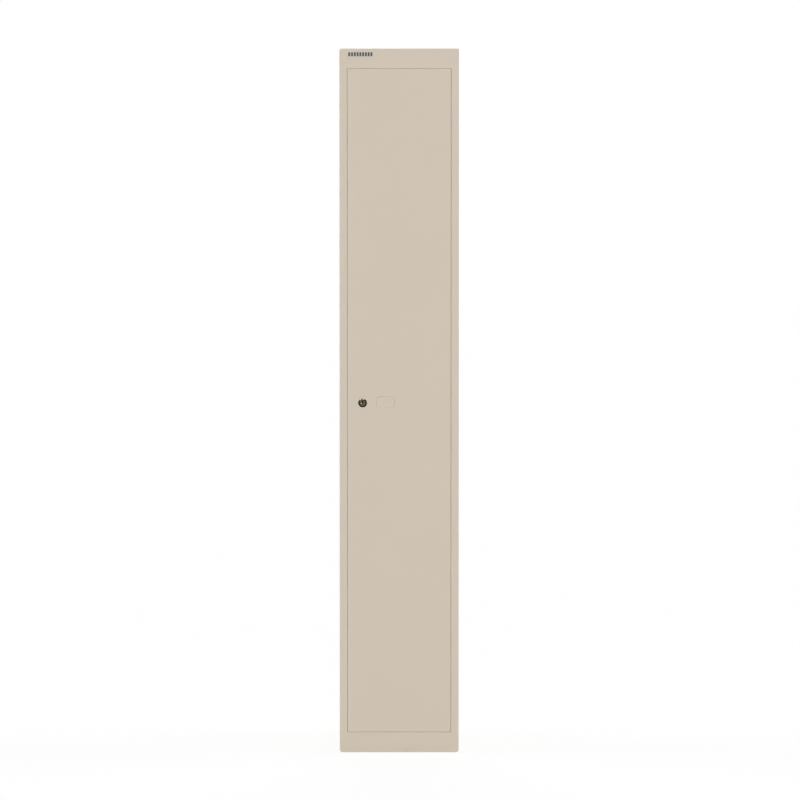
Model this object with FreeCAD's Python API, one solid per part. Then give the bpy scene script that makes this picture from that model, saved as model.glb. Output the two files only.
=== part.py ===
import FreeCAD, Part
import cmath
import math
import os

# Full-height clothes locker of folded sheet steel: one narrow column with one flush door.
# +Z is up, the door faces -Y and is hung on the +X side. The origin lies on the floor,
# under the middle of the whole object. All sizes are in millimetres.

Vec = FreeCAD.Vector
X, Y, Z = Vec(1, 0, 0), Vec(0, 1, 0), Vec(0, 0, 1)
NEAR = 1e-4  # distance under which two places count as one

# Carcass
WIDTH = 305.0
DEPTH = 457.0
HEIGHT = 1802.0
SHEET = 0.8
BEND = 1.0  # outside radius of a fold
TOP_CORNER = 4.5  # outside radius where a side turns into the top
FOOT_CORNER = 7.0  # outside radius where a side turns into the foot
STILE = 19.6  # width of the frame beside the door
HEADER = 50.6  # height of the frame above the door
PLINTH = 52.0  # height of the frame below the door
HEAD_GAP = 0.26  # gap above the door
FOOT_GAP = 0.42  # gap below the door
LOCK_GAP = 0.5  # gap at the door's lock edge
HINGE_GAP = 0.7  # gap at its hinged edge, which turns into the frame
JAMB = 24.0  # depth of the folded edge behind the frame
STOP = 11.5  # width of the lip behind the door, at its sides and top
SILL = 8.0  # height of that lip behind the door's foot
LIP_FIT = 0.35  # between the lips of the rails and of the sides
RAIL_RETURN = 20.0  # fold of the rails along the top and the floor
TRAY_CORNER = 4.2  # outside radius of the trays welded inside the carcass
TOP_FLANGE = 15.0
FLOOR_FLANGE = 25.0

# Door
DOOR_THICK = 18.0
DOOR_LIP = 14.0
STIFFENER_X = 42.0
STIFFENER_WEB = 50.0
STIFFENER_FOOT = 15.0
STIFFENER_SLOPE = 4.0
STIFFENER_DEPTH = 15.9  # middle of the web, from the front of the door
LABEL_X = -35.1
LABEL_Z = 899.8
LABEL_SIZE = (47.0, 29.7)
LABEL_CORNER = 11.8
LABEL_DEPTH = 2.6
LABEL_ROUND = 1.2  # radius of the recess's mouth and foot
LABEL_MARGIN = 10.0  # skin round the recess

# Hinges
HINGE_INSET = 12.0  # pin axis from the door's edge
HINGE_SETBACK = 4.3  # pin axis from the door's face
HINGE_HEIGHTS = {"bottom": 200.0, "middle": 901.5, "top": 1603.0}
PIN_R = 2.0
PIN_FIT = 0.05  # running clearance, on the radius
PIN_HEAD_R = 3.4
PIN_HEAD = 2.0
KNUCKLE_R = 3.2
LEAF_SHEET = 2.0
LEAF_HALF = 20.0  # half the height of the fixed leaf
LEAF_END = 131.5  # where its foot ends, from the middle of the locker
LEAF_FOLD = 3.0  # fold radius on the middle of its sheet
WASHER_R = 3.4
WASHER_SHEET = 0.5
EAR_SHEET = 2.5
EAR_DEPTH = 12.0  # from the door's face
EAR_NOSE = 5.5  # past the pin axis
BRACKET_WEB = 12.0  # web, from the pin axis towards the middle of the door
BRACKET_FOOT = 30.0  # end of the welded foot, from the pin axis
BRACKET_SHEET = 2.0
NOTCH_HALF = 21.5
NOTCH_REACH = 6.0

# Cam lock: depths along its axis are counted from the door's face, positive inwards
LOCK_X = -93.6
LOCK_Z = 898.0
LOCK_PROUD = 2.6
BEZEL_R = 11.3
BEZEL_EDGE = 1.0  # height of its outer edge, from which it slopes up to the land round the dish
BEZEL_LAND_R = 8.4
BEZEL_ROUND = 0.3
DISH_R = 7.8
DISH_DEPTH = 0.5
BARREL_R = 9.4
BARREL_FLAT = 8.1
BARREL_END = 24.7
PLUG_R = 7.4
PLUG_FIT = 0.05
PLUG_PROUD = 1.8
KEYWAY_WIDTH = 2.4
KEYWAY_Z = (-2.6, 5.8)
KEYWAY_CHAMFER = 0.3
KEYWAY_WARD = 0.7
KEYWAY_END = 15.0
SQUARE = 7.0
SQUARE_FIT = 0.05
SQUARE_END = 28.0
POST_HALF_ANGLE = 12.0
POST_R = (7.5, 9.3)
STOP_WASHER = (24.9, 26.1)
STOP_WASHER_CUT_R = 7.3
STOP_PLAY = 2.0  # degrees of play at each end of the turn
TURN = 90.0
STRAIGHT_DOWN = 180.0  # degrees about the lock's axis, from +Z towards +X
CAM = (26.2, 28.2)
CAM_HEAD_R = 9.0
CAM_ARM_HALF = 6.5
CAM_REACH = 37.0
SCREW_R = 2.0
SCREW_HEAD_R = 4.0
SCREW_HEAD = 2.2
SCREW_HEAD_ROUND = 0.7
SCREW_LENGTH = 7.0
SCREW_SLOT = (1.0, 5.0, 1.2)  # width, length and depth of each slot of the cross
NUT_SIDES = 6
NUT_FLATS = 22.0
NUT = 4.0
NUT_FACE_R = 10.8  # round face left by the chamfer on its corners
NUT_CHAMFER = 30.0
LOCK_WASHER = 0.8
LOCK_WASHER_R = 12.2

# Keeper plate and rubber buffers on the stop lip
KEEPER_SHEET = 1.2
KEEPER_HALF = 30.0
KEEPER_WIDTH = 11.0
KEEPER_CORNER = 2.0
BUFFER_HEIGHTS = (320.0, 1060.0, 1500.0)
BUFFER_R = 4.0
BUFFER_HEAD = 4.8
BUFFER_STEM_R = 2.0
BUFFER_BULB_R = 2.9
BUFFER_BULB = 2.0
HOLE_FIT = 0.1

# Hat shelf, its clips and the double coat hook under it
SHELF_Z = 1500.0
SHELF_FLANGE = 20.0
SHELF_LIP = 12.0
SHELF_SETBACK = 45.0
SHELF_PLAY = 0.2
CLIP_SHEET = 1.5
CLIP_FOLD = 1.75
CLIP_WIDTH = 25.0
CLIP_DROP = 25.0
CLIP_REACH = 15.0
CLIP_INSET = 60.0  # from the shelf's front and rear edges
HOOK_PLATE = (70.0, 20.0, 2.0)
HOOK_PLATE_CORNER = 6.0
HOOK_WIRE_R = 3.5
HOOK_STEM = 32.0
HOOK_BEND = 13.0
HOOK_TIP = 8.0
HOOK_BALL_R = 5.0
HOOK_RIVET_X = 26.0
RIVET_R = 2.0
RIVET_HEAD_R = 4.0
RIVET_HEAD = 1.4
RIVET_TAIL_R = 3.2
RIVET_TAIL = 1.5

# Fixing holes, vents and the plain badge
LINK_INSET = 75.0  # from the front and back faces
LINK_Z = (150.0, 1650.0)
FIXING_R = 3.5
WALL_X = 80.0
WALL_Z = 1720.0
VENT_LENGTH = 90.0
VENT_HEIGHT = 5.0
VENT_PITCH = 14.0
VENT_ROWS = 5
VENT_STARTS = (110.0, 1560.0)
BACK_CORNER = 5.0
BADGE_X = (-131.0, -67.0)
BADGE_Z = (1781.2, 1793.8)
BADGE_PROUD = 1.2
BADGE_RIM = 1.2
BADGE_SLOTS = 9
BADGE_BAR = 1.8  # upright bar left between two slots
BADGE_RECESS = 0.3
BADGE_CORNER = 2.0

# Places worked out from the sizes above
HALF = WIDTH / 2
FRONT = -(DEPTH - LOCK_PROUD) / 2
BACK = FRONT + DEPTH
MID_Y = (FRONT + BACK) / 2
INSIDE = HALF - SHEET
OPEN_HALF = HALF - STILE
OPEN_LOW = PLINTH
OPEN_HIGH = HEIGHT - HEADER
FOLD_LINE = BEND - SHEET / 2  # fold radius on the middle of the sheet
DOOR_X = (LOCK_GAP - OPEN_HALF, OPEN_HALF - HINGE_GAP)
DOOR_LOW = OPEN_LOW + FOOT_GAP
DOOR_HIGH = OPEN_HIGH - HEAD_GAP
HINGE_X = DOOR_X[1] - HINGE_INSET
HINGE_Y = FRONT + HINGE_SETBACK
JAMB_BACK = FRONT + JAMB
FACE_LINE = FRONT + SHEET / 2  # middle of the sheet in the frame's face
LIP_LINE = JAMB_BACK - SHEET / 2  # middle of the sheet in the stop lip
FLOOR_TOP = PLINTH - SHEET
SHELF_UNDER = SHELF_Z - SHEET
HOOK_PLATE_UNDER = SHELF_UNDER - HOOK_PLATE[2]

# The plane of a section: its two axes, then the direction in which it is drawn out
PLAN = (X, Y, Z)
ELEVATION = (X, Z, Y)
PROFILE = (Y, Z, X)


def block(x, y, z):
    """Box between low and high values on each axis."""
    return Part.makeBox(x[1] - x[0], y[1] - y[0], z[1] - z[0], Vec(x[0], y[0], z[0]))


def rounded_block(x, y, z, radius):
    """Box with every edge rounded."""
    box = block(x, y, z)
    return box.makeFillet(radius, box.Edges)


def drawn_in(span, amount):
    """A pair of values, each moved towards the other."""
    return (span[0] + amount, span[1] - amount)


def pan(x, y, z, radius, mouth):
    """Folded sheet box with rounded edges, opened by the block called mouth."""
    inner = [drawn_in(span, SHEET) for span in (x, y, z)]
    walls = rounded_block(x, y, z, radius).cut(rounded_block(*inner, radius - SHEET))
    return walls.cut(mouth)


def edges_along(shape, axis, x=None, y=None, z=None):
    """Straight edges along an axis, kept to those at the given coordinates."""
    found = []
    for edge in shape.Edges:
        start, end = edge.Vertexes[0].Point, edge.Vertexes[-1].Point
        middle = (start + end) / 2
        wanted = [(x, middle.x), (y, middle.y), (z, middle.z)]
        placed = all(place is None or abs(place - value) < NEAR for place, value in wanted)
        if placed and abs(abs((end - start).dot(axis)) - (end - start).Length) < NEAR:
            found.append(edge)
    return found


def edges_across(shape, axis, place):
    """Edges that lie wholly in the plane across an axis at the given place."""
    found = []
    for edge in shape.Edges:
        box = edge.BoundBox
        corners = Vec(box.XMin, box.YMin, box.ZMin), Vec(box.XMax, box.YMax, box.ZMax)
        if all(abs(corner.dot(axis) - place) < NEAR for corner in corners):
            found.append(edge)
    return found


def heading(start, end):
    """Unit direction between two points of a section."""
    return (end - start) / abs(end - start)


def face_points(path, radius, offset):
    """Points along one face of a folded strip: its two ends, and three on each fold."""
    points = [path[0] + offset * 1j * heading(path[0], path[1])]
    for before, corner, after in zip(path, path[1:], path[2:]):
        inward = heading(before, corner)
        outward = heading(corner, after)
        turn = cmath.phase(outward / inward)
        side = math.copysign(1, turn)
        centre = corner - radius * math.tan(abs(turn) / 2) * inward + side * radius * 1j * inward
        spoke = -side * (radius - side * offset) * 1j * inward
        points += [centre + spoke * cmath.rect(1, share * turn) for share in (0, 0.5, 1)]
    points.append(path[-1] + offset * 1j * heading(path[-2], path[-1]))
    return points


def run_edges(points):
    """Lines and arcs through the points of one face of a folded strip."""
    edges = []
    for i in range(0, len(points) - 1, 3):
        edges.append(Part.makeLine(points[i], points[i + 1]))
        if i + 3 < len(points):
            edges.append(Part.Arc(*points[i + 1:i + 4]).toShape())
    return edges


def folded_strip(path, plane, sheet, radius, span):
    """Sheet strip folded along path, the middle line of its section, and drawn out over span."""
    across, up, along = plane
    line = [complex(*point) for point in path]
    left, right = (
        [across * p.real + up * p.imag + along * span[0] for p in face_points(line, radius, offset)]
        for offset in (sheet / 2, -sheet / 2)
    )
    ends = [Part.makeLine(left[-1], right[-1]), Part.makeLine(right[0], left[0])]
    edges = run_edges(left) + ends[:1] + run_edges(right[::-1]) + ends[1:]
    return Part.Face(Part.Wire(edges)).extrude(along * (span[1] - span[0]))


def carcass_block(inset):
    """The outside of the carcass, drawn in by inset on every face."""
    box = block(
        drawn_in((-HALF, HALF), inset),
        drawn_in((FRONT, BACK), inset),
        drawn_in((0, HEIGHT), inset),
    )
    box = box.makeFillet(TOP_CORNER - inset, edges_along(box, Y, z=HEIGHT - inset))
    box = box.makeFillet(FOOT_CORNER - inset, edges_along(box, Y, z=inset))
    rims = edges_across(box, Y, FRONT + inset) + edges_across(box, Y, BACK - inset)
    return box.makeFillet(BEND - inset, rims)


def side_tray():
    """The left side of the carcass: flanges on its four edges, and the stile folded into jamb and stop."""
    skin = carcass_block(0).cut(carcass_block(SHEET))
    tray = skin.common(block((-HALF, -OPEN_HALF), (FRONT, BACK), (0, HEIGHT)))
    stile_start = -OPEN_HALF - STILE / 5
    jamb_x = -OPEN_HALF - SHEET / 2
    path = [(stile_start, FACE_LINE), (jamb_x, FACE_LINE), (jamb_x, LIP_LINE), (STOP - OPEN_HALF, LIP_LINE)]
    jamb = folded_strip(path, PLAN, SHEET, FOLD_LINE, (OPEN_LOW, OPEN_HIGH))
    strip = block((stile_start, -OPEN_HALF), (FRONT, FRONT + SHEET), (OPEN_LOW, OPEN_HIGH))
    return tray.cut(strip).fuse(jamb).removeSplitter()


def link_holes(side):
    """Cutters for the four holes that bolt one locker to the next."""
    return [
        Part.makeCylinder(FIXING_R, 2 * STILE, Vec(side * HALF - STILE, y, z), X)
        for y in drawn_in((FRONT, BACK), LINK_INSET)
        for z in LINK_Z
    ]


def buffer_axis(z, start, radius, length):
    """Round piece on the axis of a buffer, starting behind the door's face by start."""
    return Part.makeCylinder(radius, length, Vec(-OPEN_HALF + STOP / 2, FRONT + start, z), Y)


def left_side_panel():
    holes = [buffer_axis(z, JAMB - SHEET, BUFFER_STEM_R + HOLE_FIT, SHEET) for z in BUFFER_HEIGHTS]
    return side_tray().cut(holes + link_holes(-1))


def right_side_panel():
    return side_tray().mirror(Vec(), X).cut(link_holes(1))


def back_panel():
    x = drawn_in((-HALF, HALF), SHEET + BEND)
    y = (BACK - 2 * SHEET, BACK - SHEET)
    plate = block(x, y, drawn_in((0, HEIGHT), SHEET + BEND))
    plate = plate.makeFillet(BACK_CORNER, edges_along(plate, Y))
    slot_half = (VENT_LENGTH - VENT_HEIGHT) / 2
    cutters = []
    for start in VENT_STARTS:
        for row in range(VENT_ROWS):
            height = start + row * VENT_PITCH
            z_span = (height - VENT_HEIGHT / 2, height + VENT_HEIGHT / 2)
            cutters.append(block((-slot_half, slot_half), y, z_span))
            for end in (-slot_half, slot_half):
                cutters.append(Part.makeCylinder(VENT_HEIGHT / 2, SHEET, Vec(end, y[0], height), Y))
    for side in (-1, 1):
        cutters.append(Part.makeCylinder(FIXING_R, SHEET, Vec(side * WALL_X, y[0], WALL_Z), Y))
    return plate.cut(Part.makeCompound(cutters))


def welded_tray(top, flange):
    """Tray that fills the carcass from side to side, with its four edges turned down."""
    x, y = (-INSIDE, INSIDE), (FRONT + SHEET, BACK - 2 * SHEET)
    z = (top - flange - 2 * TRAY_CORNER, top)
    return pan(x, y, z, TRAY_CORNER, block(x, y, (z[0], top - flange)))


def top_panel():
    return welded_tray(HEIGHT - SHEET, TOP_FLANGE)


def floor_panel():
    return welded_tray(FLOOR_TOP, FLOOR_FLANGE)


def rail(edge_z, jamb_z, lip_end):
    """Folded rail of the frame: a return along the carcass's edge, the face, the jamb and the stop lip."""
    path = [
        (FRONT + RAIL_RETURN, edge_z),
        (FACE_LINE, edge_z),
        (FACE_LINE, jamb_z),
        (LIP_LINE, jamb_z),
        (LIP_LINE, lip_end),
    ]
    strip = folded_strip(path, PROFILE, SHEET, FOLD_LINE, (-OPEN_HALF, OPEN_HALF))
    # The lip stops short of the lips on the side panels
    lip_y = (JAMB_BACK - BEND, JAMB_BACK)
    lip_half = OPEN_HALF - STOP - LIP_FIT
    ends = [block(x, lip_y, (0, HEIGHT)) for x in ((-OPEN_HALF, -lip_half), (lip_half, OPEN_HALF))]
    return strip.cut(ends)


def top_rail():
    return rail(HEIGHT - SHEET / 2, OPEN_HIGH + SHEET / 2, OPEN_HIGH - STOP)


def bottom_rail():
    return rail(SHEET / 2, OPEN_LOW - SHEET / 2, OPEN_LOW + SILL)


def hat_shelf():
    x = drawn_in((-INSIDE, INSIDE), SHELF_PLAY)
    y = (FRONT + SHELF_SETBACK, BACK - 2 * SHEET - SHELF_PLAY)
    z = (SHELF_Z - SHELF_FLANGE, SHELF_Z)
    mouth = block(drawn_in(x, SHELF_LIP), drawn_in(y, SHELF_LIP), (z[0], z[0] + BEND))
    shelf = pan(x, y, z, BEND, mouth)
    return shelf.cut([hook_rivet_axis(side, SHELF_UNDER, RIVET_R + HOLE_FIT, SHEET) for side in (-1, 1)])


def shelf_clips():
    wall_x = INSIDE - CLIP_SHEET / 2
    seat_z = SHELF_Z - SHELF_FLANGE - CLIP_SHEET / 2
    clips = []
    shelf_span = (FRONT + SHELF_SETBACK, BACK - 2 * SHEET)
    for side in (-1, 1):
        path = [
            (side * wall_x, seat_z - CLIP_DROP),
            (side * wall_x, seat_z),
            (side * (wall_x - CLIP_REACH), seat_z),
        ]
        for y in drawn_in(shelf_span, CLIP_INSET):
            span = (y - CLIP_WIDTH / 2, y + CLIP_WIDTH / 2)
            clips.append(folded_strip(path, ELEVATION, CLIP_SHEET, CLIP_FOLD, span))
    return Part.makeCompound(clips)


def hook_rivet_axis(side, z, radius, length):
    """Round piece on the axis of one of the coat hook's rivets, from z upwards."""
    return Part.makeCylinder(radius, length, Vec(side * HOOK_RIVET_X, MID_Y, z), Z)


def coat_hook():
    length, width, thick = HOOK_PLATE
    x, y = (-length / 2, length / 2), (MID_Y - width / 2, MID_Y + width / 2)
    plate = block(x, y, (HOOK_PLATE_UNDER, SHELF_UNDER))
    plate = plate.makeFillet(HOOK_PLATE_CORNER, edges_along(plate, Z))
    low = HOOK_PLATE_UNDER - HOOK_STEM
    start = Vec(0, MID_Y, HOOK_PLATE_UNDER)
    turn_in = Vec(0, MID_Y, low)
    turn_low = Vec(HOOK_BEND, MID_Y, low - HOOK_BEND)
    turn_out = Vec(2 * HOOK_BEND, MID_Y, low)
    tip = Vec(2 * HOOK_BEND, MID_Y, low + HOOK_TIP)
    route = Part.Wire([
        Part.makeLine(start, turn_in),
        Part.Arc(turn_in, turn_low, turn_out).toShape(),
        Part.makeLine(turn_out, tip),
    ])
    wire = Part.Wire(Part.makeCircle(HOOK_WIRE_R, start, Z))
    prong = route.makePipeShell([wire], True, False).fuse(Part.makeSphere(HOOK_BALL_R, tip))
    hook = plate.fuse([prong, prong.mirror(Vec(), X)]).removeSplitter()
    return hook.cut([hook_rivet_axis(side, HOOK_PLATE_UNDER, RIVET_R + HOLE_FIT, thick) for side in (-1, 1)])


def coat_hook_rivets():
    grip = SHELF_Z - HOOK_PLATE_UNDER
    rivets = []
    for side in (-1, 1):
        head = hook_rivet_axis(side, HOOK_PLATE_UNDER - RIVET_HEAD, RIVET_HEAD_R, RIVET_HEAD)
        head = head.makeFillet(RIVET_HEAD / 2, edges_across(head, Z, HOOK_PLATE_UNDER - RIVET_HEAD))
        shank = hook_rivet_axis(side, HOOK_PLATE_UNDER, RIVET_R, grip)
        tail = hook_rivet_axis(side, SHELF_Z, RIVET_TAIL_R, RIVET_TAIL)
        rivets.append(head.fuse([shank, tail]).removeSplitter())
    return Part.makeCompound(rivets)


def lock_keeper():
    x = (-OPEN_HALF + STOP - KEEPER_WIDTH, -OPEN_HALF + STOP)
    plate = block(x, (JAMB_BACK, JAMB_BACK + KEEPER_SHEET), (LOCK_Z - KEEPER_HALF, LOCK_Z + KEEPER_HALF))
    return plate.makeFillet(KEEPER_CORNER, edges_along(plate, Y))


def door_buffers():
    head_start = JAMB - SHEET - BUFFER_HEAD
    buffers = []
    for z in BUFFER_HEIGHTS:
        head = buffer_axis(z, head_start, BUFFER_R, BUFFER_HEAD)
        stem = buffer_axis(z, JAMB - SHEET, BUFFER_STEM_R, SHEET)
        bulb = buffer_axis(z, JAMB, BUFFER_BULB_R, BUFFER_BULB)
        buffers.append(head.fuse([stem, bulb]).removeSplitter())
    return Part.makeCompound(buffers)


def badge_plate():
    plate = block(BADGE_X, (FRONT - BADGE_PROUD, FRONT), BADGE_Z)
    plate = plate.makeFillet(BADGE_CORNER, edges_along(plate, Y))
    start, end = drawn_in(BADGE_X, BADGE_RIM)
    pitch = (end - start + BADGE_BAR) / BADGE_SLOTS
    slot_y = (FRONT - BADGE_PROUD, FRONT - BADGE_PROUD + BADGE_RECESS)
    slots = []
    for i in range(BADGE_SLOTS):
        left = start + i * pitch
        slot = block((left, left + pitch - BADGE_BAR), slot_y, drawn_in(BADGE_Z, BADGE_RIM))
        slots.append(slot.makeFillet(BADGE_CORNER - BADGE_RIM, edges_along(slot, Y)))
    return plate.cut(slots)


def pin_axis(z, start, radius, length):
    """Round piece on a hinge's axis, starting above the hinge's middle by start."""
    return Part.makeCylinder(radius, length, Vec(HINGE_X, HINGE_Y, z + start), Z)


def hinge_leaf(z):
    """Cranked leaf: a foot on the jamb's flange, and an arm rolled round the pin from behind."""
    arm_x = HINGE_X - KNUCKLE_R + LEAF_SHEET / 2
    foot_y = JAMB_BACK + LEAF_SHEET / 2
    span = (z - LEAF_HALF, z + LEAF_HALF)
    path = [(arm_x, HINGE_Y), (arm_x, foot_y), (LEAF_END, foot_y)]
    leaf = folded_strip(path, PLAN, LEAF_SHEET, LEAF_FOLD, span)
    knuckle = pin_axis(z, -LEAF_HALF, KNUCKLE_R, 2 * LEAF_HALF)
    bore = pin_axis(z, -LEAF_HALF, PIN_R + PIN_FIT, 2 * LEAF_HALF)
    return leaf.fuse(knuckle).cut(bore).removeSplitter()


def hinge_bracket(z):
    """Bracket welded inside the door, with an ear above and below the leaf."""
    half = LEAF_HALF + WASHER_SHEET + EAR_SHEET
    skin_y = FRONT + SHEET
    web_x = HINGE_X - BRACKET_WEB
    foot = block((HINGE_X - BRACKET_FOOT, web_x), (skin_y, skin_y + BRACKET_SHEET), (z - half, z + half))
    web = block((web_x, web_x + BRACKET_SHEET), (skin_y, FRONT + EAR_DEPTH), (z - half, z + half))
    pieces = [web]
    for low in (-half, half - EAR_SHEET):
        ear = block((web_x, HINGE_X + EAR_NOSE), (skin_y, FRONT + EAR_DEPTH), (z + low, z + low + EAR_SHEET))
        nose = edges_along(ear, Z, x=HINGE_X + EAR_NOSE, y=FRONT + EAR_DEPTH)
        pieces.append(ear.makeFillet(EAR_NOSE, nose))
    bore = pin_axis(z, -half, PIN_R + PIN_FIT / 2, 2 * half)
    return foot.fuse(pieces).cut(bore).removeSplitter()


def hinge_pin(z):
    half = LEAF_HALF + WASHER_SHEET + EAR_SHEET
    shank = pin_axis(z, -half - PIN_HEAD, PIN_R, 2 * half + PIN_HEAD)
    head = pin_axis(z, half, PIN_HEAD_R, PIN_HEAD)
    head = head.makeFillet(PIN_HEAD / 2, edges_across(head, Z, z + half + PIN_HEAD))
    return shank.fuse(head).removeSplitter()


def hinge_washers():
    rings = []
    for z in HINGE_HEIGHTS.values():
        ring = pin_axis(z, LEAF_HALF, WASHER_R, WASHER_SHEET)
        rings.append(ring.cut(pin_axis(z, LEAF_HALF, PIN_R + PIN_FIT, WASHER_SHEET)))
    return Part.makeCompound(rings)


def label_prism(margin, depths):
    """Upright rounded prism round the label, wider all round by margin, between two depths in the door."""
    half_x, half_z = (side / 2 + margin for side in LABEL_SIZE)
    x, z = (LABEL_X - half_x, LABEL_X + half_x), (LABEL_Z - half_z, LABEL_Z + half_z)
    prism = block(x, [FRONT + depth for depth in depths], z)
    return prism.makeFillet(LABEL_CORNER + margin, edges_along(prism, Y))


def label_recess():
    """The piece of the door's skin round the label, pressed in with soft edges."""
    pocket_floor = LABEL_DEPTH
    boss_back = SHEET + LABEL_DEPTH
    skin = label_prism(LABEL_MARGIN, (0, SHEET))
    dished = skin.fuse(label_prism(SHEET, (SHEET, boss_back))).cut(label_prism(0, (0, pocket_floor)))
    rims = []
    for depth in (0, SHEET, pocket_floor, boss_back):
        for edge in edges_across(dished, Y, FRONT + depth):
            spot = edge.CenterOfMass
            inside_x = abs(spot.x - LABEL_X) < LABEL_SIZE[0] / 2 + 2 * SHEET
            inside_z = abs(spot.z - LABEL_Z) < LABEL_SIZE[1] / 2 + 2 * SHEET
            if inside_x and inside_z:
                rims.append(edge)
    return dished.makeFillet(LABEL_ROUND, rims)


def door_panel():
    y, z = (FRONT, FRONT + DOOR_THICK), (DOOR_LOW, DOOR_HIGH)
    mouth = block(drawn_in(DOOR_X, DOOR_LIP), (y[1] - BEND, y[1]), drawn_in(z, DOOR_LIP))
    door = pan(DOOR_X, y, z, BEND, mouth)
    door = door.cut(label_prism(LABEL_MARGIN, (0, SHEET))).fuse(label_recess())
    notch_x = (HINGE_X - NOTCH_REACH, DOOR_X[1])
    notches = [
        block(notch_x, (FRONT + BEND, y[1]), (height - NOTCH_HALF, height + NOTCH_HALF))
        for height in HINGE_HEIGHTS.values()
    ]
    return door.cut(notches + [barrel_shape(HOLE_FIT, 0, SHEET)]).removeSplitter()


def door_stiffener():
    outer = STIFFENER_WEB / 2 + STIFFENER_SLOPE
    skin_y = FRONT + 1.5 * SHEET
    web_y = FRONT + STIFFENER_DEPTH
    half_path = [(STIFFENER_WEB / 2, web_y), (outer, skin_y), (outer + STIFFENER_FOOT, skin_y)]
    path = [(STIFFENER_X - x, y) for x, y in half_path[::-1]] + [(STIFFENER_X + x, y) for x, y in half_path]
    span = drawn_in((DOOR_LOW, DOOR_HIGH), BEND + SHEET)
    return folded_strip(path, PLAN, SHEET, FOLD_LINE, span)


def lock_axis(radius, start, end):
    """Round piece on the lock's axis, between two depths behind the door's face."""
    return Part.makeCylinder(radius, end - start, Vec(LOCK_X, FRONT + start, LOCK_Z), Y)


def lock_block(x, start, end, z):
    """Box placed about the lock's axis, between two depths behind the door's face."""
    return block(
        (LOCK_X + x[0], LOCK_X + x[1]),
        (FRONT + start, FRONT + end),
        (LOCK_Z + z[0], LOCK_Z + z[1]),
    )


def barrel_shape(margin, start, end):
    """The lock's threaded barrel with its two flats, larger all round by margin."""
    flat = BARREL_FLAT + margin
    reach = BARREL_R + margin
    return lock_axis(reach, start, end).common(lock_block((-flat, flat), start, end, (-reach, reach)))


def ring_sector(radii, angles, start, end):
    """Part of a ring on the lock's axis, between angles counted from +Z towards +X."""
    def spot(radius, angle):
        turn = math.radians(angle)
        return Vec(LOCK_X + radius * math.sin(turn), FRONT + start, LOCK_Z + radius * math.cos(turn))

    inner, outer = radii
    first, last = angles
    middle = (first + last) / 2
    edges = [
        Part.Arc(spot(inner, first), spot(inner, middle), spot(inner, last)).toShape(),
        Part.makeLine(spot(inner, last), spot(outer, last)),
        Part.Arc(spot(outer, last), spot(outer, middle), spot(outer, first)).toShape(),
        Part.makeLine(spot(outer, first), spot(inner, first)),
    ]
    return Part.Face(Part.Wire(edges)).extrude(Y * (end - start))


def lock_housing():
    edge_y, land_y = FRONT - BEZEL_EDGE, FRONT - LOCK_PROUD
    slope = Part.makeCone(BEZEL_R, BEZEL_LAND_R, edge_y - land_y, Vec(LOCK_X, edge_y, LOCK_Z), -Y)
    bezel = lock_axis(BEZEL_R, -BEZEL_EDGE, 0).fuse(slope)
    rims = edges_across(bezel, Y, edge_y) + edges_across(bezel, Y, land_y)
    bezel = bezel.makeFillet(BEZEL_ROUND, rims)
    bezel = bezel.cut(lock_axis(DISH_R, -LOCK_PROUD, DISH_DEPTH - LOCK_PROUD))
    barrel = barrel_shape(0, 0, BARREL_END)
    post_span = (STRAIGHT_DOWN - POST_HALF_ANGLE, STRAIGHT_DOWN + POST_HALF_ANGLE)
    post = ring_sector(POST_R, post_span, BARREL_END, STOP_WASHER[1])
    bore = lock_axis(PLUG_R + PLUG_FIT, -LOCK_PROUD, BARREL_END)
    return bezel.fuse([barrel, post]).cut(bore).removeSplitter()


def lock_nut():
    start = SHEET + LOCK_WASHER
    corner = NUT_FLATS / math.sqrt(3)
    turns = [math.tau * i / NUT_SIDES for i in range(NUT_SIDES + 1)]
    points = [
        Vec(LOCK_X + corner * math.cos(turn), FRONT + start, LOCK_Z + corner * math.sin(turn))
        for turn in turns
    ]
    hexagon = Part.Face(Part.makePolygon(points)).extrude(Y * NUT)
    foot_r = NUT_FACE_R + NUT / math.tan(math.radians(NUT_CHAMFER))
    chamfer = Part.makeCone(foot_r, NUT_FACE_R, NUT, Vec(LOCK_X, FRONT + start, LOCK_Z), Y)
    return hexagon.common(chamfer).cut(lock_axis(BARREL_R + PLUG_FIT, start, start + NUT))


def lock_washer():
    ring = lock_axis(LOCK_WASHER_R, SHEET, SHEET + LOCK_WASHER)
    return ring.cut(lock_axis(BARREL_R + HOLE_FIT, SHEET, SHEET + LOCK_WASHER))


def lock_plug():
    half = SQUARE / 2
    plug = lock_axis(PLUG_R, -PLUG_PROUD, BARREL_END)
    tail = lock_block((-half, half), BARREL_END, SQUARE_END, (-half, half))
    side = KEYWAY_WIDTH / 2
    slot = lock_block((-side, side), -PLUG_PROUD, KEYWAY_END, KEYWAY_Z)
    ward_z = (-KEYWAY_WARD, KEYWAY_WARD)
    ward = lock_block((0, side + KEYWAY_WARD), -PLUG_PROUD, KEYWAY_END, ward_z)
    tapped = lock_axis(SCREW_R + SQUARE_FIT, SQUARE_END - SCREW_LENGTH, SQUARE_END)
    plug = plug.fuse(tail).cut([slot, ward, tapped]).removeSplitter()
    face_edges = edges_across(plug, Y, FRONT - PLUG_PROUD)
    mouth = [edge for edge in face_edges if isinstance(edge.Curve, Part.Line)]
    return plug.makeChamfer(KEYWAY_CHAMFER, mouth)


def square_hole(start, end):
    """Cutter for the square hole that turns with the plug's tail."""
    half = SQUARE / 2 + SQUARE_FIT
    return lock_block((-half, half), start, end, (-half, half))


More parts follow.
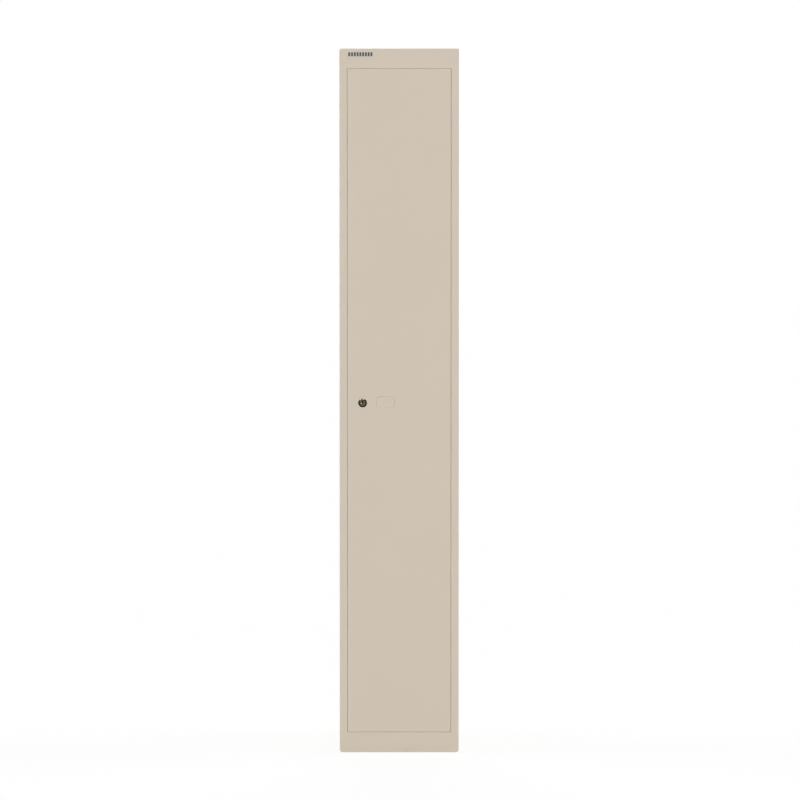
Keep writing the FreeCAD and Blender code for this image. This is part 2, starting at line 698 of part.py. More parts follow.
def stop_washer():
    """Washer whose cut-away quarter lets the plug turn between the two sides of the post."""
    start, end = STOP_WASHER
    side = POST_HALF_ANGLE + STOP_PLAY
    cut_span = (STRAIGHT_DOWN - TURN - side, STRAIGHT_DOWN + side)
    cut = ring_sector((STOP_WASHER_CUT_R, 2 * BARREL_R), cut_span, start, end)
    return lock_axis(POST_R[1], start, end).cut([cut, square_hole(start, end)])


def lock_cam():
    start, end = CAM
    tip = Vec(LOCK_X, FRONT + start, LOCK_Z - CAM_REACH + CAM_ARM_HALF)
    arm = lock_block((-CAM_ARM_HALF, CAM_ARM_HALF), start, end, (CAM_ARM_HALF - CAM_REACH, 0))
    point = Part.makeCylinder(CAM_ARM_HALF, end - start, tip, Y)
    cam = lock_axis(CAM_HEAD_R, start, end).fuse([arm, point]).removeSplitter()
    return cam.cut(square_hole(start, end))


def cam_screw():
    under = CAM[1]
    top = under + SCREW_HEAD
    head = lock_axis(SCREW_HEAD_R, under, top)
    head = head.makeFillet(SCREW_HEAD_ROUND, edges_across(head, Y, FRONT + top))
    shank = lock_axis(SCREW_R, SQUARE_END - SCREW_LENGTH + SQUARE_FIT, under)
    width, length, depth = SCREW_SLOT
    cross = [
        lock_block((-across / 2, across / 2), top - depth, top, (-up / 2, up / 2))
        for across, up in ((width, length), (length, width))
    ]
    return head.fuse(shank).cut(cross).removeSplitter()


def all_nodes():
    """Every sub-part's shape under its node's name."""
    makers = [
        left_side_panel, right_side_panel, back_panel, top_panel, floor_panel, top_rail, bottom_rail,
        hat_shelf, shelf_clips, coat_hook, coat_hook_rivets, lock_keeper, door_buffers, badge_plate,
        hinge_washers, door_panel, door_stiffener, lock_housing, lock_nut, lock_washer,
        lock_plug, stop_washer, lock_cam, cam_screw,
    ]
    nodes = {maker.__name__: maker() for maker in makers}
    for place, z in HINGE_HEIGHTS.items():
        for maker in (hinge_leaf, hinge_bracket, hinge_pin):
            nodes[f"{maker.__name__}_{place}"] = maker(z)
    return nodes


def main():
    os.makedirs("parts", exist_ok=True)
    for name, shape in all_nodes().items():
        print(f"{name}: {len(shape.Solids)} solids, {shape.Volume / 1000:.2f} cm3, valid {shape.isValid()}")
        shape.exportStep(f"parts/{name}.step")


main()
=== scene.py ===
import math

import bmesh
import bpy
from mathutils import Matrix, Vector


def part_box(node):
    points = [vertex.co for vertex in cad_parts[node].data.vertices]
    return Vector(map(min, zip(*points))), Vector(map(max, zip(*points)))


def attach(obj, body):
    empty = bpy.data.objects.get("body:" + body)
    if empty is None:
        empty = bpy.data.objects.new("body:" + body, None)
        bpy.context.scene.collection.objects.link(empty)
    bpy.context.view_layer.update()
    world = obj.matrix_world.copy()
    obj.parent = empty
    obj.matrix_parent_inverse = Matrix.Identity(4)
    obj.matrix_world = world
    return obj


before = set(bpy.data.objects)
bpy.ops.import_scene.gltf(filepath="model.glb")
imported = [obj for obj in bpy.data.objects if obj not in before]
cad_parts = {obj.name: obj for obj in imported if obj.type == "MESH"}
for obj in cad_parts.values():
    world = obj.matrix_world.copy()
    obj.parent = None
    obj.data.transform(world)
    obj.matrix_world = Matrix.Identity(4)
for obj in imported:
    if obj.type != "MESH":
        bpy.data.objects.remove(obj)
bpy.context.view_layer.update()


# Side panels: two tall trays folded from 0.8 mm steel sheet, which carry all the rest. The front edge of
# each is turned in to make the stile, the jamb and the door's stop. They are powder coated in satin
# cream: a fine orange peel over sheet that is never quite flat, and a soft edge where the coat flows.
COAT_DEEP = (0.608, 0.534, 0.438)
COAT_PALE = (0.626, 0.550, 0.452)
COAT_EDGE = 0.00035  # radius that the coat gives to a sharp edge
PEEL_DEPTH = 0.00003
SHEET_WAVE = 0.0008  # how far the sheet is from flat


class Value:
    """A socket of a node tree. Sums and products of values add Math nodes to the tree."""

    def __init__(self, tree, socket):
        self.tree = tree
        self.socket = socket

    def beside(self, name):
        """Another output of the same node."""
        return Value(self.tree, self.socket.node.outputs[name])

    def spread(self, least, most):
        """A number this share of the way from least to most."""
        return least + (most - least) * self

    def __add__(self, other):
        return self.tree.maths("ADD", self, other)

    def __sub__(self, other):
        return self.tree.maths("SUBTRACT", self, other)

    def __rsub__(self, other):
        return self.tree.maths("SUBTRACT", other, self)

    def __mul__(self, other):
        return self.tree.maths("MULTIPLY", self, other)

    def __pow__(self, other):
        return self.tree.maths("POWER", self, other)

    def __gt__(self, other):
        return self.tree.maths("GREATER_THAN", self, other)

    __radd__ = __add__
    __rmul__ = __mul__


class Tree:
    """The nodes of a material, of the world or of a geometry group."""

    def __init__(self, node_tree):
        self.nodes = node_tree.nodes
        self.links = node_tree.links

    def feed(self, socket, value):
        """Sets a socket to a constant, or links a value to it."""
        if isinstance(value, Value):
            self.links.new(value.socket, socket)
        else:
            socket.default_value = value

    def node(self, kind, settings=None, sockets=None, output=0):
        """Adds a node, with its settings first and then the values or links of its sockets."""
        made = self.nodes.new(kind)
        for name, setting in (settings or {}).items():
            setattr(made, name, setting)
        for name, value in (sockets or {}).items():
            self.feed(made.inputs[name], value)
        return Value(self, made.outputs[output])

    def maths(self, operation, *terms):
        """The result of a Math node on one or more terms."""
        return self.node("ShaderNodeMath", {"operation": operation}, dict(enumerate(terms)))

    def axis(self, vector, letter):
        """One coordinate of a vector."""
        return self.node("ShaderNodeSeparateXYZ", sockets={"Vector": vector}, output=letter)


class Finish(Tree):
    """A material on Object coordinates, built up from patterns."""

    def __init__(self, name):
        self.material = bpy.data.materials.new(name)
        self.material.use_nodes = True
        super().__init__(self.material.node_tree)
        self.shader = self.nodes["Principled BSDF"]
        self.place = self.node("ShaderNodeTexCoord", output="Object")

    def noise(self, lumps, detail=2.0):
        """Smooth noise from 0 to 1, with about this many lumps to the metre along each axis."""
        stretch = {0: self.place, 1: lumps}
        spot = self.node("ShaderNodeVectorMath", {"operation": "MULTIPLY"}, stretch)
        return self.node("ShaderNodeTexNoise", sockets={"Vector": spot, "Scale": 1.0, "Detail": detail})

    def between(self, share, first, second):
        """Colour between two colours, each a link or three numbers."""
        first, second = (c if isinstance(c, Value) else (*c, 1) for c in (first, second))
        # A Mix node takes colours at its inputs 6 and 7, and gives one at its output 2
        blend = {0: share, 6: first, 7: second}
        return self.node("ShaderNodeMix", {"data_type": "RGBA"}, blend, output=2)

    def bump(self, height, depth, normal):
        """Normal of a surface raised by height times depth, in metres."""
        relief = {"Height": height, "Distance": depth, "Normal": normal}
        return self.node("ShaderNodeBump", sockets=relief)

    def soft_edge(self, radius):
        """Normal of a surface whose sharp edges are eased to this radius."""
        return self.node("ShaderNodeBevel", {"samples": 6}, {"Radius": radius})

    def set(self, **sockets):
        """Feeds the shader's sockets, named with _ for a space."""
        for name, value in sockets.items():
            self.feed(self.shader.inputs[name.replace("_", " ")], value)
        return self.material


def evenly(number):
    """The same number for each axis, or for each part of a colour."""
    return (number, number, number)


def dress(material, *names):
    """Gives a material to all slots of these nodes."""
    for name in names:
        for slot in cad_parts[name].material_slots:
            slot.material = material


def powder_coat():
    coat = Finish("powder_coat")
    clouds = coat.noise(evenly(7), detail=3.0)
    waves = coat.noise(evenly(4), detail=0.0)
    peel = coat.noise(evenly(520))
    sheet = coat.bump(waves, SHEET_WAVE, normal=coat.soft_edge(COAT_EDGE))
    return coat.set(
        Base_Color=coat.between(clouds, COAT_DEEP, COAT_PALE),
        Roughness=peel.spread(0.40, 0.54),
        Normal=coat.bump(peel, PEEL_DEPTH, normal=sheet),
    )


paint = powder_coat()
dress(paint, "left_side_panel", "right_side_panel")


# Back, top, floor and the two rails of the frame: sheet from the same coil as the sides, sheared, folded
# and spot-welded between them. The rails close the frame above and below the door, flush with the
# stiles, and everything is coated together after welding, so the joints are hidden by one skin.
dress(paint, "back_panel", "top_panel", "floor_panel", "top_rail", "bottom_rail")


# Spot welds: the shallow rings that a pair of copper tips leaves where two sheets are pressed and fused.
# They run down the rear flanges and along the top, under the coat. Those on the stop lips hold the
# hinge leaves and the lock's keeper.
SHEET = 0.0008
WELD_RADIUS = 0.0034
WELD_RISE = 0.00026
WELD_DIMPLE = 0.15  # height of its middle, as a share of the rise
WELD_FALL = 0.45  # from the middle down to the rim, as a share of the rise
WELD_SEGMENTS = 24
WELD_RINGS = 8
WELD_SEAM = WELD_RADIUS / 100  # points nearer than this become one
WELD_SIZES = (0.88, 1.1)  # smallest and largest mark, as a share of the usual one
WELD_SEED = 4
WELD_PITCH = 0.115
WELD_INSET = 0.0095  # from the outside of the locker to the middle of a row
WELD_FOOT = 0.060  # first and last mark of a row, from the end of the sheet
LIP_WELD_INSET = 0.008  # on the stop lips, from the edge of the piece behind
REARWARDS, FORWARDS, UPWARDS = (0, 1, 0), (0, -1, 0), (0, 0, 1)
HINGES = ("bottom", "middle", "top")


class Recipe(Tree):
    """A geometry group with named inputs, whose result is one plain mesh."""

    def __init__(self, name, *sizes):
        self.group = bpy.data.node_groups.new(name, "GeometryNodeTree")
        super().__init__(self.group)
        sockets = self.group.interface
        sockets.new_socket("Geometry", in_out="OUTPUT", socket_type="NodeSocketGeometry")
        kinds = {"Geometry": "Geometry", "Material": "Material", **{size: "Float" for size in sizes}}
        for label, kind in kinds.items():
            sockets.new_socket(label, in_out="INPUT", socket_type=f"NodeSocket{kind}")
        self.entry = self.node("NodeGroupInput")

    def input(self, label):
        return self.entry.beside(label)

    def close(self, geometry):
        """Ends the group: instances made real, shaded smooth and given the material of the piece."""
        real = self.node("GeometryNodeRealizeInstances", sockets={"Geometry": geometry})
        smooth = self.node("GeometryNodeSetShadeSmooth", sockets={"Geometry": real})
        finish = {"Geometry": smooth, "Material": self.input("Material")}
        dressed = self.node("GeometryNodeSetMaterial", sockets=finish)
        self.feed(self.nodes.new("NodeGroupOutput").inputs["Geometry"], dressed)

    def make(self, name, mesh, **sizes):
        """Runs the group on a mesh and returns an object with the finished mesh."""
        piece = bpy.data.objects.new(name, mesh)
        bpy.context.scene.collection.objects.link(piece)
        modifier = piece.modifiers.new(name, "NODES")
        modifier.node_group = self.group
        for socket in self.group.interface.items_tree:
            if socket.in_out == "INPUT" and socket.name in sizes:
                modifier[socket.identifier] = sizes[socket.name]
        evaluated = piece.evaluated_get(bpy.context.evaluated_depsgraph_get())
        finished = bpy.data.meshes.new_from_object(evaluated)
        piece.modifiers.remove(modifier)
        piece.data = finished
        return piece


def weld_recipe():
    weld = Recipe("spot_weld", "Radius", "Rise")
    counts = {"Vertices X": WELD_SEGMENTS + 1, "Vertices Y": WELD_RINGS + 1}
    grid = weld.node("GeometryNodeMeshGrid", sockets=counts)
    flat = grid.beside("UV Map")
    turn = weld.axis(flat, "X") * -math.tau
    reach = weld.axis(flat, "Y")
    # A dimple in the middle, a raised ring at seven tenths of the radius, and a rim sunk in the sheet
    area = reach * reach
    swell = weld.maths("SINE", area * math.pi)
    rise = weld.input("Rise") * (WELD_DIMPLE + swell - WELD_FALL * area)
    spoke = reach * weld.input("Radius")
    across, along = spoke * weld.maths("COSINE", turn), spoke * weld.maths("SINE", turn)
    spot = weld.node("ShaderNodeCombineXYZ", sockets={"X": across, "Y": along, "Z": rise})
    open_disc = weld.node("GeometryNodeSetPosition", sockets={"Geometry": grid, "Position": spot})
    closed = {"Geometry": open_disc, "Distance": WELD_SEAM}
    disc = weld.node("GeometryNodeMergeByDistance", sockets=closed)
    of_vectors = {"data_type": "FLOAT_VECTOR"}
    facing = weld.node("GeometryNodeInputNamedAttribute", of_vectors, {"Name": "facing"})
    upright = weld.node("FunctionNodeAlignRotationToVector", {"axis": "Z"}, {"Vector": facing})
    # A Random Value node takes plain numbers at its inputs 2 and 3, and gives one at its output 1
    sizes = {2: WELD_SIZES[0], 3: WELD_SIZES[1], "Seed": WELD_SEED}
    size = weld.node("FunctionNodeRandomValue", {"data_type": "FLOAT"}, sizes, output=1)
    marks = weld.node(
        "GeometryNodeInstanceOnPoints",
        sockets={"Points": weld.input("Geometry"), "Instance": disc, "Rotation": upright, "Scale": size},
    )
    weld.close(marks)
    return weld


spot_weld = weld_recipe()


def weld_row(start, end, facing):
    """Places about one pitch apart along a line, each with the direction that its mark faces."""
    start, end = Vector(start), Vector(end)
    steps = max(1, round((end - start).length / WELD_PITCH))
    return [(start.lerp(end, step / steps), facing) for step in range(steps + 1)]


def weld_marks(name, places, body):
    """One piece with a mark at each place, coated like the sheet, which rides on a body."""
    points = bpy.data.meshes.new(name)
    points.from_pydata([place for place, facing in places], [], [])
    facings = points.attributes.new("facing", "FLOAT_VECTOR", "POINT")
    for slot, (place, facing) in zip(facings.data, places):
        slot.vector = facing
    marks = spot_weld.make(name, points, Material=paint, Radius=WELD_RADIUS, Rise=WELD_RISE)
    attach(marks, body)


def drawn_in(low, high, amount):
    """A pair of values, each moved towards the other."""
    return low + amount, high - amount


case_low, case_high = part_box("right_side_panel")
front_y, rear_y, top_z = case_low.y, case_high.y, case_high.z
row_x = case_high.x - WELD_INSET
row_foot, row_head = drawn_in(0, top_z, WELD_FOOT)
row_front, row_rear = drawn_in(front_y, rear_y, WELD_FOOT)
carcass_welds = []
for x in (-row_x, row_x):
    carcass_welds += weld_row((x, rear_y, row_foot), (x, rear_y, row_head), REARWARDS)
    carcass_welds += weld_row((x, row_front, top_z), (x, row_rear, top_z), UPWARDS)
rail_low, rail_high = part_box("top_rail")
rail_left, rail_right = drawn_in(rail_low.x, rail_high.x, WELD_FOOT)
rail_y = front_y + WELD_INSET
carcass_welds += weld_row((rail_left, rail_y, top_z), (rail_right, rail_y, top_z), UPWARDS)
keeper_low, keeper_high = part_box("lock_keeper")
lip_y = keeper_low.y - SHEET
for place in HINGES:
    leaf_low, leaf_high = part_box(f"hinge_leaf_{place}")
    leaf_x = leaf_high.x - LIP_WELD_INSET
    for z in drawn_in(leaf_low.z, leaf_high.z, LIP_WELD_INSET):
        carcass_welds.append(((leaf_x, lip_y, z), FORWARDS))
keeper_x = (keeper_low.x + keeper_high.x) / 2
for z in drawn_in(keeper_low.z, keeper_high.z, LIP_WELD_INSET):
    carcass_welds.append(((keeper_x, lip_y, z), FORWARDS))
weld_marks("carcass_welds", carcass_welds, "carcass")


# Hat shelf: a shallow tray with hemmed edges that rests on four bent steel clips, coated like the rest.
# The double coat hook under it is bright zinc-plated wire with ball ends, welded to a small plate and
# held by two steel rivets.
ZINC_DULL = (0.50, 0.50, 0.48)
ZINC_BRIGHT = (0.66, 0.67, 0.67)
ZINC_EDGE = 0.0003
ZINC_GRAIN_DEPTH = 0.000006


def zinc_plate():
    zinc = Finish("zinc_plate")
    bloom = zinc.noise(evenly(45))
    spangle = zinc.noise(evenly(260), detail=3.0)
    grain = zinc.noise(evenly(2600))
    return zinc.set(
        Base_Color=zinc.between(bloom, ZINC_DULL, ZINC_BRIGHT),
        Metallic=1.0,
        Roughness=spangle.spread(0.22, 0.44),
        Normal=zinc.bump(grain, ZINC_GRAIN_DEPTH, normal=zinc.soft_edge(ZINC_EDGE)),
    )


zinc = zinc_plate()
dress(paint, "hat_shelf", "shelf_clips")
dress(zinc, "coat_hook", "coat_hook_rivets")


# Lock keeper and door buffers: a plated steel plate behind the stop lip, for the lock's cam to bear on,
# and three black rubber buttons pushed through holes in the lip, which take the slam of the door.
RUBBER_BLACK = (0.018, 0.018, 0.019)
RUBBER_BLOOM = (0.045, 0.044, 0.043)
RUBBER_EDGE = 0.0005
RUBBER_GRAIN_DEPTH = 0.00002


def black_rubber():
    rubber = Finish("black_rubber")
    bloom = rubber.noise(evenly(180), detail=3.0)
    grain = rubber.noise(evenly(3000))
    return rubber.set(
        Base_Color=rubber.between(bloom, RUBBER_BLACK, RUBBER_BLOOM),
        Roughness=bloom.spread(0.62, 0.82),
        Normal=rubber.bump(grain, RUBBER_GRAIN_DEPTH, normal=rubber.soft_edge(RUBBER_EDGE)),
    )


dress(zinc, "lock_keeper")
dress(black_rubber(), "door_buffers")


# Hinges: a cranked leaf of 2 mm plate on the jamb, a bracket in the door and a headed pin through both,
# three times over, with a nylon washer on top of each leaf. Leaves and brackets are spot-welded to
# their sheets and coated with them. The pins are zinc plated and go in afterwards.
BRACKET_SHEET = 0.002
BRACKET_WELD_INSET = 0.009  # from the edges of a bracket's foot
NYLON_DEEP = (0.70, 0.68, 0.62)
NYLON_MILK = (0.78, 0.77, 0.73)
NYLON_EDGE = 0.0002
NYLON_GRAIN_DEPTH = 0.00001


def natural_nylon():
    nylon = Finish("natural_nylon")
    milk = nylon.noise(evenly(400))
    return nylon.set(
        Base_Color=nylon.between(milk, NYLON_DEEP, NYLON_MILK),
        Roughness=milk.spread(0.38, 0.48),
        Normal=nylon.bump(milk, NYLON_GRAIN_DEPTH, normal=nylon.soft_edge(NYLON_EDGE)),
    )


dress(natural_nylon(), "hinge_washers")
bracket_welds = []
for place in HINGES:
    dress(paint, f"hinge_leaf_{place}", f"hinge_bracket_{place}")
    dress(zinc, f"hinge_pin_{place}")
    bracket_low, bracket_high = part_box(f"hinge_bracket_{place}")
    foot = bracket_low.x + BRACKET_WELD_INSET, bracket_low.y + BRACKET_SHEET
    for z in drawn_in(bracket_low.z, bracket_high.z, BRACKET_WELD_INSET):
        bracket_welds.append(((*foot, z), REARWARDS))
weld_marks("bracket_welds", bracket_welds, "door")


# Door: one sheet folded into a pan with returned lips, and a top-hat stiffener welded down its back. The
# label recess beside the lock is pressed into the skin. Both are coated with the carcass.
STIFFENER_FOOT = 0.0075  # from the edge of its foot to the row of welds
dress(paint, "door_panel", "door_stiffener")
brace_low, brace_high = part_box("door_stiffener")
brace_y = brace_low.y + SHEET
brace_foot, brace_head = drawn_in(brace_low.z, brace_high.z, WELD_FOOT)
door_welds = []
for x in drawn_in(brace_low.x, brace_high.x, STIFFENER_FOOT):
    door_welds += weld_row((x, brace_y, brace_foot), (x, brace_y, brace_head), REARWARDS)
weld_marks("door_welds", door_welds, "door")


# Cam lock: a die-cast housing and plug, held through the door by a hexagon nut, with a plated stop
# washer, cam and screw on the plug's tail. The face is lacquered black nickel, with rings from the lathe,
# and a hard steel ball in the plug stops a drill. The barrel is bare nickel, threaded between two flats.
HOUSING_DEEP, HOUSING_PALE = (0.020, 0.012, 0.001), (0.032, 0.020, 0.003)
PLUG_DEEP, PLUG_PALE = (0.108, 0.090, 0.062), (0.142, 0.120, 0.086)
BARE_NICKEL = (0.34, 0.32, 0.29)
NICKEL_EDGE = 0.00025
LATHE_RINGS = 4200  # to the metre, out from the axis
LATHE_DEPTH = 0.000004
# Painted shade: the inside of the keyway is coloured near black to stand for the shade deep in the slot
KEYWAY_SHADE = (0.010, 0.006, 0.002)
KEYWAY_MOUTH = 0.0016  # from the bezel's front to where the painted shade in the keyway starts
KEYWAY_END = 0.019
lock_low, lock_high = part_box("lock_housing")
lock_x, lock_z = (lock_low.x + lock_high.x) / 2, (lock_low.z + lock_high.z) / 2


def black_nickel(name, deep, pale, dull):
    """A turned finish, and the colour of its outside."""
    nickel = Finish(name)
    across, up = nickel.axis(nickel.place, "X") - lock_x, nickel.axis(nickel.place, "Z") - lock_z
    out = (across * across + up * up) ** 0.5 * LATHE_RINGS
    rings = nickel.node("ShaderNodeTexNoise", {"noise_dimensions": "1D"}, {"W": out, "Scale": 1.0})
    wear = nickel.noise(evenly(700), detail=3.0)
    nickel.set(
        Metallic=1.0,
        Roughness=rings.spread(dull, dull + 0.10),
        Normal=nickel.bump(rings, LATHE_DEPTH, normal=nickel.soft_edge(NICKEL_EDGE)),
    )
    return nickel, nickel.between(wear, deep, pale)


housing, housing_tone = black_nickel("housing_nickel", HOUSING_DEEP, HOUSING_PALE, dull=0.32)
on_barrel = housing.axis(housing.place, "Y") > front_y
housing_nickel = housing.set(
    Base_Color=housing.between(on_barrel, housing_tone, BARE_NICKEL),
    Coat_Weight=0.3,
    Coat_Roughness=0.06,
)
dress(housing_nickel, "lock_housing")
plug, plug_tone = black_nickel("plug_nickel", PLUG_DEEP, PLUG_PALE, dull=0.1)
depth = plug.axis(plug.place, "Y") - lock_low.y
# Past the keyway's mouth the plug takes the painted shade colour, which stands for the shade in the
# narrow slot
in_keyway = (depth > KEYWAY_MOUTH) * ((KEYWAY_END - depth) > 0)
plug_nickel = plug.set(Base_Color=plug.between(in_keyway, plug_tone, KEYWAY_SHADE))
dress(plug_nickel, "lock_plug")
dress(zinc, "lock_nut", "lock_washer", "stop_washer", "lock_cam", "cam_screw")

GUARD_RADIUS = 0.0014
GUARD_SUNK = 0.0007  # its middle, from the plug's face
GUARD_PLACE = (-0.00265, -0.0009)  # across and up, from the lock's axis
GUARD_SEGMENTS, GUARD_RINGS = 32, 16
STEEL_DULL = (0.76, 0.74, 0.70)
STEEL_BRIGHT = (0.88, 0.86, 0.82)
STEEL_EDGE = 0.0001
SCUFF_DEPTH = 0.000003


def hard_steel():
    steel = Finish("hard_steel")
    scuffs = steel.noise(evenly(2400), detail=3.0)
    return steel.set(
        Base_Color=steel.between(scuffs, STEEL_DULL, STEEL_BRIGHT),
        Metallic=1.0,
        Roughness=scuffs.spread(0.28, 0.40),
        Normal=steel.bump(scuffs, SCUFF_DEPTH, normal=steel.soft_edge(STEEL_EDGE)),
    )


guard_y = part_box("lock_plug")[0].y + GUARD_SUNK
guard_place = Matrix.Translation((lock_x + GUARD_PLACE[0], guard_y, lock_z + GUARD_PLACE[1]))
ball = bmesh.new()
bmesh.ops.create_uvsphere(
    ball, u_segments=GUARD_SEGMENTS, v_segments=GUARD_RINGS, radius=GUARD_RADIUS, matrix=guard_place
)
guard_mesh = bpy.data.meshes.new("drill_guard")
ball.to_mesh(guard_mesh)
ball.free()
guard_mesh.shade_smooth()
guard_mesh.materials.append(hard_steel())
drill_guard = bpy.data.objects.new("drill_guard", guard_mesh)
bpy.context.scene.collection.objects.link(drill_guard)
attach(drill_guard, "lock_cylinder")

THREAD_PITCH = 0.001
THREAD_DEPTH = 0.0005
THREAD_END = 0.0007  # from the last turn to the end of the barrel
THREAD_STEPS = 48  # to a turn
RIDGE_SIDES = 4
BARREL_RADIUS = 0.0094
BARREL_FLAT = 0.0081  # from the axis
FLAT_COVER = 0.0001  # of barrel over the turns at a flat
thread_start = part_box("lock_nut")[1].y
thread_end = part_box("stop_washer")[0].y - THREAD_END


def thread_recipe():
    thread = Recipe("barrel_thread", "Pitch", "Turns", "Radius", "Depth", "Flat")
    coil = thread.node(
        "GeometryNodeCurveSpiral",
        sockets={
            "Resolution": THREAD_STEPS,
            "Rotations": thread.input("Turns"),
            "Start Radius": thread.input("Radius"),
            "End Radius": thread.input("Radius"),
            "Height": thread.input("Pitch") * thread.input("Turns"),
        },
    )
    coil = thread.node("GeometryNodeSetCurveNormal", {"mode": "Z_UP"}, {"Curve": coil})
    section = {"Resolution": RIDGE_SIDES, "Radius": thread.input("Depth")}
    ridge = thread.node("GeometryNodeCurvePrimitiveCircle", sockets=section)
    sweep = {"Curve": coil, "Profile Curve": ridge, "Fill Caps": True}
    ribbon = thread.node("GeometryNodeCurveToMesh", sockets=sweep)
    # The turns are cut off at the barrel's flats, and laid along its axis
    spot = thread.node("GeometryNodeInputPosition")
    across, up, along = (thread.axis(spot, letter) for letter in "XYZ")
    flat = thread.input("Flat")
    across = thread.maths("MINIMUM", thread.maths("MAXIMUM", across, 0 - flat), flat)
    place = {"X": lock_x + across, "Y": thread_start + along, "Z": lock_z - up}
    laid = thread.node("ShaderNodeCombineXYZ", sockets=place)
    thread.close(thread.node("GeometryNodeSetPosition", sockets={"Geometry": ribbon, "Position": laid}))
    return thread


barrel_thread = thread_recipe().make(
    "barrel_thread",
    bpy.data.meshes.new("barrel_thread"),
    Material=housing_nickel,
    Pitch=THREAD_PITCH,
    Turns=(thread_end - thread_start) / THREAD_PITCH,
    Radius=BARREL_RADIUS,
    Depth=THREAD_DEPTH,
    Flat=BARREL_FLAT - FLAT_COVER,
)
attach(barrel_thread, "door")


# Badge: a blank aluminium plate pressed with a row of upright slots, stuck to the header's left end. The
# rim and bars are bright from brushing, and the slots are filled with dark enamel.
BADGE_STEP = 0.00015  # from the rim's face to half way down a slot
BADGE_DULL = (0.53, 0.50, 0.48)
BADGE_BRIGHT = (0.67, 0.63, 0.61)
BADGE_ENAMEL = (0.080, 0.070, 0.064)
BADGE_EDGE = 0.0002
BRUSHING = (60, 60, 5200)  # streaks run across, so they are close together up the plate
BRUSHING_DEPTH = 0.000008
badge_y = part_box("badge_plate")[0].y


def brushed_badge():
    badge = Finish("brushed_badge")
    filled = badge.axis(badge.place, "Y") > badge_y + BADGE_STEP
    streaks = badge.noise(BRUSHING, detail=3.0)
    bright = badge.between(streaks, BADGE_DULL, BADGE_BRIGHT)
    return badge.set(
        Base_Color=badge.between(filled, bright, BADGE_ENAMEL),
        Metallic=1.0 - filled,
        Roughness=streaks.spread(0.26, 0.46),
        Normal=badge.bump(streaks, BRUSHING_DEPTH, normal=badge.soft_edge(BADGE_EDGE)),
    )


dress(brushed_badge(), "badge_plate")


# Studio: a white floor that runs into a white surround, a narrow and a wide lamp in front for the face,
# two above them that show only as glints, and wide fills over, beside and behind the locker. The floor
# and surround look white to the camera and in the metal, and light the locker at a lower level.
WHITE = 1.0
AMBIENT = 0.22
FLOOR_SIZE = 120.0
FLOOR_GREY = 0.72
FLOOR_GLOW = 0.88  # the floor's own white, to which lamplight and shadow add the rest
FLOOR_CATCH = 0.16  # how much of the lamplight and shadow shows on that white
scene = bpy.context.scene
scene.view_settings.view_transform = "Standard"


def seen_directly(tree):
    """1 for what the camera, metal and glass see, 0 for light that falls on the locker."""
    rays = ("Is Camera Ray", "Is Glossy Ray", "Is Transmission Ray")
    by_camera, by_metal, by_glass = (tree.node("ShaderNodeLightPath", output=ray) for ray in rays)
    return (by_camera + by_metal + by_glass) > 0.5


surround = bpy.data.worlds.new("surround")
surround.use_nodes = True
scene.world = surround
sky = Tree(surround.node_tree)
sky_light = sky.nodes["Background"].inputs
sky.feed(sky_light["Color"], (1, 1, 1, 1))
sky.feed(sky_light["Strength"], seen_directly(sky).spread(AMBIENT, WHITE))

half = FLOOR_SIZE / 2
floor_corners = [(-half, -half, 0), (half, -half, 0), (half, half, 0), (-half, half, 0)]
floor_mesh = bpy.data.meshes.new("floor")
floor_mesh.from_pydata(floor_corners, [], [(0, 1, 2, 3)])
floor = bpy.data.objects.new("floor", floor_mesh)
scene.collection.objects.link(floor)
white_floor = Finish("white_floor")
seen = seen_directly(white_floor)
tone = white_floor.between(seen, evenly(FLOOR_GREY), evenly(FLOOR_CATCH))
matte = white_floor.node("ShaderNodeBsdfDiffuse", sockets={"Color": tone})
glow = white_floor.node("ShaderNodeEmission", sockets={"Strength": FLOOR_GLOW * seen})
both = white_floor.node("ShaderNodeAddShader", sockets={0: matte, 1: glow})
white_floor.feed(white_floor.nodes["Material Output"].inputs["Surface"], both)
floor_mesh.materials.append(white_floor.material)


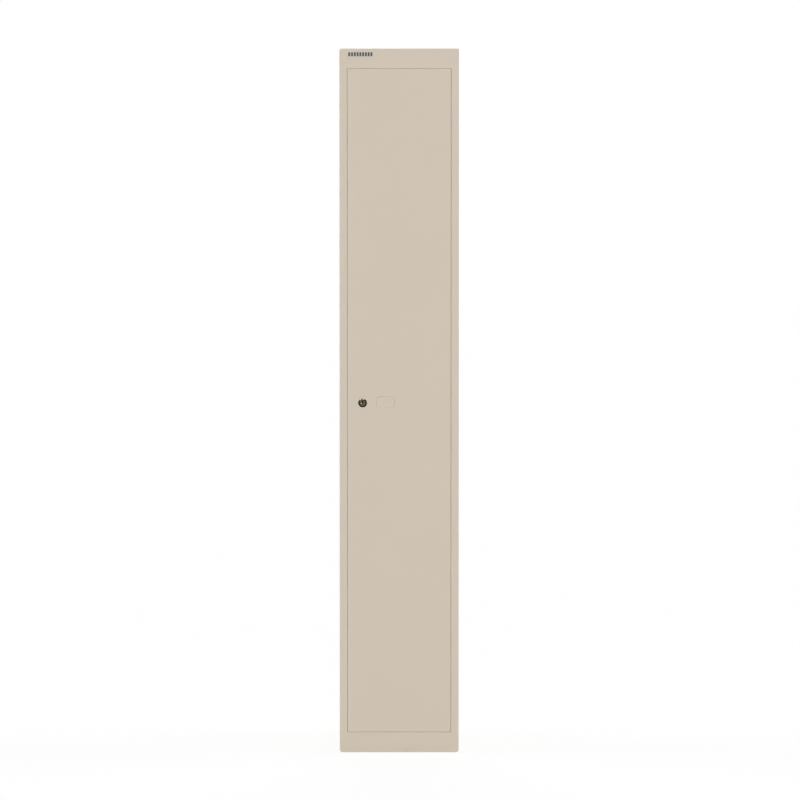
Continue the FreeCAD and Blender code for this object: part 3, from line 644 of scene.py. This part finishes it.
def lamp(name, azimuth, elevation, energy, breadth):
    """A far lamp, with all angles in degrees. Azimuth 0 is the locker's front, and 90 its right side."""
    light = bpy.data.lights.new(name, "SUN")
    light.energy = energy
    light.angle = math.radians(breadth)
    turn, lift = math.radians(azimuth), math.radians(elevation)
    away = Vector((math.sin(turn) * math.cos(lift), -math.cos(turn) * math.cos(lift), math.sin(lift)))
    holder = bpy.data.objects.new(name, light)
    holder.rotation_euler = away.to_track_quat("Z", "Y").to_euler()
    scene.collection.objects.link(holder)
    return holder


# The front lamp is narrow and near the line of sight, so its light reaches into the gap round the door.
# The two glints stand where the lock's conical bezel mirrors them to the camera.
front_lamp = lamp("front_lamp", azimuth=0, elevation=2.4, energy=1.455, breadth=2.4)
key_lamp = lamp("key_lamp", azimuth=5, elevation=6, energy=0.6, breadth=50)
lamp("overhead", azimuth=0, elevation=88, energy=0.40, breadth=50)
lamp("left_fill", azimuth=-105, elevation=20, energy=0.85, breadth=40)
lamp("right_fill", azimuth=105, elevation=20, energy=1.0, breadth=40)
lamp("rear_fill", azimuth=180, elevation=25, energy=0.95, breadth=40)
left_glint = lamp("left_glint", azimuth=-37, elevation=45.4, energy=1.75, breadth=10)
right_glint = lamp("right_glint", azimuth=14, elevation=54, energy=1.5, breadth=9)
for face_lamp in (front_lamp, key_lamp):
    face_lamp.visible_glossy = False
for glint in (left_glint, right_glint):
    glint.visible_diffuse = False

CAMERA_DISTANCE = 10.0
CAMERA_HEIGHT = 1.350
CAMERA_TARGET = 0.9056  # height on the locker's face at the middle of the picture
PICTURE_WIDTH = 2.0447  # seen across the locker's face
PICTURE_SHIFT = 0.001
SENSOR = 36.0
lens = bpy.data.cameras.new("camera")
lens.sensor_width = SENSOR
lens.lens = SENSOR * CAMERA_DISTANCE / PICTURE_WIDTH
lens.shift_x = PICTURE_SHIFT
lens.clip_end = 2 * FLOOR_SIZE
camera = bpy.data.objects.new("camera", lens)
camera.location = (0, front_y - CAMERA_DISTANCE, CAMERA_HEIGHT)
line_of_sight = Vector((0, front_y, CAMERA_TARGET)) - camera.location
camera.rotation_euler = line_of_sight.to_track_quat("-Z", "Y").to_euler()
scene.collection.objects.link(camera)
scene.camera = camera
